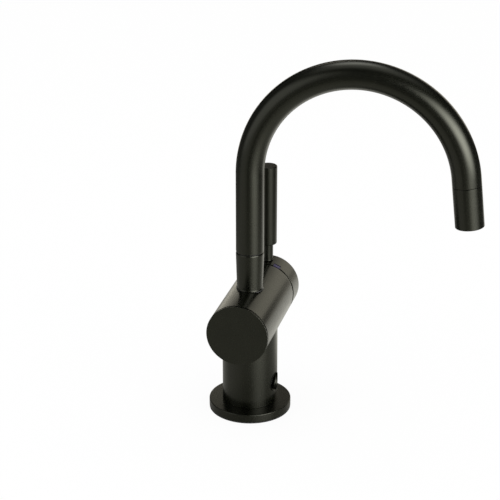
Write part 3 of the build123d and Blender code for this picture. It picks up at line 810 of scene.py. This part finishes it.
class Glow:
    """Light given off by a card, with short ways to shape it over the card."""

    def __init__(self, plane):
        self.material, self.nodes, self.links = stage_material(plane.name + "_light")
        self.place = self.nodes.new("ShaderNodeTexCoord").outputs["Object"]
        self.emission = self.nodes.new("ShaderNodeEmission")
        self.output = self.nodes.new("ShaderNodeOutputMaterial")
        self.links.new(self.emission.outputs[0], self.output.inputs["Surface"])
        plane.data.materials.append(self.material)

    def math(self, operation, first, second):
        node = self.nodes.new("ShaderNodeMath")
        node.operation = operation
        for socket, value in zip(node.inputs, (first, second)):
            if isinstance(value, (int, float)):
                socket.default_value = value
            else:
                self.links.new(value, socket)
        return node.outputs[0]

    def fade(self, value, rim, softness, strength):
        """Strength inside, and nothing past the rim, with a soft way between."""
        node = self.nodes.new("ShaderNodeMapRange")
        node.interpolation_type = "SMOOTHSTEP"
        node.inputs["From Min"].default_value = rim
        node.inputs["From Max"].default_value = rim * (1 - softness)
        node.inputs["To Min"].default_value = 0
        node.inputs["To Max"].default_value = strength
        self.links.new(value, node.inputs["Value"])
        return node.outputs["Result"]

    def pool(self, centre, reach, turn, softness, strength):
        """Soft ellipse of light, or of shade where its strength is below 0."""
        mapping = self.nodes.new("ShaderNodeMapping")
        mapping.vector_type = "TEXTURE"
        mapping.inputs["Location"].default_value = (*centre, 0)
        mapping.inputs["Rotation"].default_value = (0, 0, math.radians(turn))
        mapping.inputs["Scale"].default_value = (*reach, 1)
        length = self.nodes.new("ShaderNodeVectorMath")
        length.operation = "LENGTH"
        self.links.new(self.place, mapping.inputs["Vector"])
        self.links.new(mapping.outputs["Vector"], length.inputs[0])
        return self.fade(length.outputs["Value"], 1.0, softness, strength)

    def pools(self, level, pools, colour=WHITE):
        """Even light at a level, with soft pools added to it."""
        self.emission.inputs["Color"].default_value = (*colour, 1)
        total = level
        for pool in pools:
            total = self.math("ADD", self.pool(*pool), total)
        self.links.new(self.math("MAXIMUM", total, 0.0), self.emission.inputs["Strength"])

    def soft_window(self, width, height, softness, strength):
        """Rectangle of light that fades towards its four sides."""
        parts = self.nodes.new("ShaderNodeSeparateXYZ")
        self.links.new(self.place, parts.inputs[0])
        from_middle = self.math("ABSOLUTE", parts.outputs["X"], 0.0)
        across = self.fade(from_middle, width / 2, softness, strength)
        from_middle = self.math("ABSOLUTE", parts.outputs["Y"], 0.0)
        along = self.fade(from_middle, height / 2, softness, 1.0)
        self.links.new(self.math("MULTIPLY", across, along), self.emission.inputs["Strength"])

    def see_through(self):
        """Adds what lies behind the card to its light."""
        clear = self.nodes.new("ShaderNodeBsdfTransparent")
        add = self.nodes.new("ShaderNodeAddShader")
        self.links.new(self.emission.outputs[0], add.inputs[0])
        self.links.new(clear.outputs[0], add.inputs[1])
        self.links.new(add.outputs[0], self.output.inputs["Surface"])

    def polish(self, roughness, ior):
        """Lets the card mirror the studio, as acrylic does."""
        gloss = self.nodes.new("ShaderNodeBsdfGlossy")
        gloss.inputs["Roughness"].default_value = roughness
        fresnel = self.nodes.new("ShaderNodeFresnel")
        fresnel.inputs["IOR"].default_value = ior
        mix = self.nodes.new("ShaderNodeMixShader")
        self.links.new(fresnel.outputs[0], mix.inputs["Fac"])
        self.links.new(self.emission.outputs[0], mix.inputs[1])
        self.links.new(gloss.outputs[0], mix.inputs[2])
        self.links.new(mix.outputs[0], self.output.inputs["Surface"])


# Each pool: centre, half lengths, turn in degrees, softness of the rim, radiance; a pool is painted
# light on its card, or painted shade where its radiance is below 0
TABLE_LEVEL = 0.167
TABLE_LIGHT_AND_SHADE_POOLS = [
    ((0.024, -0.386), (0.651, 0.666), 18.0, 0.28, 0.34),
    ((0.217, 0.323), (0.195, 0.387), -42.7, 0.71, 1.24),
    ((0.440, -0.459), (0.780, 0.224), 126.7, 0.98, 0.72),
    # Painted shadow: the tap's contact shadow on the table.
    ((0.018, 0.004), (0.075, 0.095), 0.0, 0.43, -0.22),
    ((0.286, 0.078), (0.048, 0.203), -79.5, 0.78, 0.31),
    # Painted shade: a darker stretch of table in front of the tap.
    ((-0.008, -0.667), (0.133, 0.448), 179.0, 0.75, -0.48),
    ((-0.17, 0.43), (0.17, 0.22), 0.0, 0.8, 0.4),
    ((-0.125, 0.285), (0.09, 0.12), 0.0, 0.9, 0.35),
    ((0.035, 0.125), (0.04, 0.06), 0.0, 0.8, 0.28),
]
TABLE_COLOUR = (1.0, 0.99, 0.9)
TABLE_HALF = 3.4
TABLE_LIFT = 0.1 * MM
ACRYLIC_ROUGHNESS = 0.1
ACRYLIC_IOR = 1.49
BACKDROP_LEVEL = 0.0
BACKDROP_LIGHT_AND_SHADE_POOLS = [
    ((-0.267, 0.108), (0.158, 0.249), -37.0, 0.42, 0.97),
    ((0.220, 0.256), (0.282, 0.404), -96.5, 0.94, 1.22),
    ((-0.152, 0.599), (0.081, 0.252), 125.5, 0.66, 1.57),
    # Painted shade: a dark patch low on the backdrop, right of the tap.
    ((0.347, 0.106), (0.157, 0.087), 24.4, 0.48, -1.05),
    ((-0.037, -0.014), (0.697, 0.144), 9.6, 0.77, 1.09),
]
BACKDROP_COLOUR = (1.04, 0.99, 0.84)
BACKDROP_DISTANCE = 0.52
BACKDROP_HALF_WIDTH = 0.7
BACKDROP_HEIGHT = 0.64

# Each soft window: turn from the front and height over the table, both in degrees,
# then distance, width, height of the window itself, softness and radiance
SOFT_WINDOWS = {
    "right_window": (53.0, 11.0, 1.3, 2.1, 1.58, 1.0, 11.3),
    "left_window": (313.0, 7.8, 1.3, 1.84, 2.2, 0.64, 1.02),
    "high_back_window": (201.0, 69.4, 1.1, 0.91, 0.70, 0.82, 3.23),
    "ceiling_window": (17.0, 87.8, 1.1, 2.23, 1.13, 0.88, 0.88),
}
SOFT_WINDOW_AIM = Vector((0, 0, 0.15))
WALL_RADIANCE = 0.084
WALL_RADIUS = 3.5

# Each softbox: its place, where it looks, its width and height, and its radiance
SOFTBOXES = {
    "right_softbox": ((1.1, -0.68, 0.62), (0.05, 0, 0.1), 0.9, 0.75, 1.0),
    "left_softbox": ((-0.88, -0.76, 0.62), (0.03, 0, 0.1), 1.0, 0.85, 0.5),
    "top_softbox": ((-0.15, 0.25, 1.25), (0, 0, 0), 1.2, 0.9, 0.5),
}


def make_table():
    """White acrylic table that the paint reflects. Its glow is painted: soft pools of light, and
    pools of shade, the tap's contact shadow among them.
    """
    low, high = (-TABLE_HALF, -TABLE_HALF), (TABLE_HALF, TABLE_HALF)
    table = plane_card("table_card", low, high, Matrix.Translation((0, 0, TABLE_LIFT)))
    glow = Glow(table)
    glow.pools(TABLE_LEVEL, TABLE_LIGHT_AND_SHADE_POOLS, TABLE_COLOUR)
    glow.polish(ACRYLIC_ROUGHNESS, ACRYLIC_IOR)


def make_backdrop():
    """Upright card behind the tap, which the paint's flanks reflect. Its glow is painted, in soft
    pools of light and one pool of shade.
    """
    low, high = (-BACKDROP_HALF_WIDTH, 0), (BACKDROP_HALF_WIDTH, BACKDROP_HEIGHT)
    upright = Matrix.Translation((0, BACKDROP_DISTANCE, 0)) @ Matrix.Rotation(math.pi / 2, 4, "X")
    backdrop = plane_card("backdrop_card", low, high, upright)
    Glow(backdrop).pools(BACKDROP_LEVEL, BACKDROP_LIGHT_AND_SHADE_POOLS, BACKDROP_COLOUR)


def make_soft_window(name, turn, height, distance, width, tall, softness, radiance):
    """Large soft light that the paint reflects, facing the tap from a turn and a height."""
    turn, height = math.radians(turn), math.radians(height)
    level = math.cos(height)
    direction = Vector((math.sin(turn) * level, -math.cos(turn) * level, math.sin(height)))
    facing = (-direction).to_track_quat("Z", "Y").to_matrix().to_4x4()
    where = Matrix.Translation(SOFT_WINDOW_AIM + distance * direction) @ facing
    window = plane_card(name, (-width / 2, -tall / 2), (width / 2, tall / 2), where)
    glow = Glow(window)
    glow.soft_window(width, tall, softness, radiance)
    glow.see_through()


def make_studio_walls():
    """Dark studio round the set, which the black paint reflects."""
    bpy.ops.object.select_all(action="DESELECT")
    bpy.ops.mesh.primitive_uv_sphere_add(segments=32, ring_count=16, radius=WALL_RADIUS)
    walls = rename(bpy.context.object, "studio_walls")
    Glow(walls).pools(WALL_RADIANCE, [])
    reflected_only(walls)


def make_softbox(name, place_at, look_at, width, height, radiance):
    """Lamp for what isn't mirror-like; the paint reflects the soft windows instead."""
    light = bpy.data.lights.new(name, "AREA")
    light.shape = "RECTANGLE"
    light.size = width
    light.size_y = height
    light.energy = radiance * math.pi * width * height
    lamp = bpy.data.objects.new(name, light)
    bpy.context.scene.collection.objects.link(lamp)
    turn = (Vector(look_at) - Vector(place_at)).to_track_quat("-Z", "Y").to_matrix().to_4x4()
    lamp.matrix_world = Matrix.Translation(place_at) @ turn
    lamp.visible_camera = False
    lamp.visible_glossy = False


def make_studio():
    make_floor()
    make_world()
    make_studio_walls()
    make_table()
    make_backdrop()
    for name, window in SOFT_WINDOWS.items():
        make_soft_window(name, *window)
    for name, box in SOFTBOXES.items():
        make_softbox(name, *box)


def make_camera():
    """The photograph's camera, from a fit to the tap's rims and outline."""
    aim = Vector((0, 0, 0.110))
    distance = 0.94292
    pitch = math.radians(22.19)
    turn = math.radians(14.39)
    focal_pixels = 1444.61
    picture_pixels = 500
    centre_drop_pixels = 4.59
    data = bpy.data.cameras.new("photo_camera")
    data.sensor_width = 36
    data.lens = focal_pixels / picture_pixels * data.sensor_width
    data.shift_y = centre_drop_pixels / picture_pixels
    data.clip_start = 0.01
    camera = bpy.data.objects.new("photo_camera", data)
    bpy.context.scene.collection.objects.link(camera)
    level = Vector((-math.sin(turn), math.cos(turn), 0))
    look = math.cos(pitch) * level - math.sin(pitch) * UP
    camera.location = aim - distance * look
    camera.rotation_euler = look.to_track_quat("-Z", "Y").to_euler()
    bpy.context.scene.camera = camera


make_studio()
make_camera()
bpy.context.scene.view_settings.view_transform = "Standard"
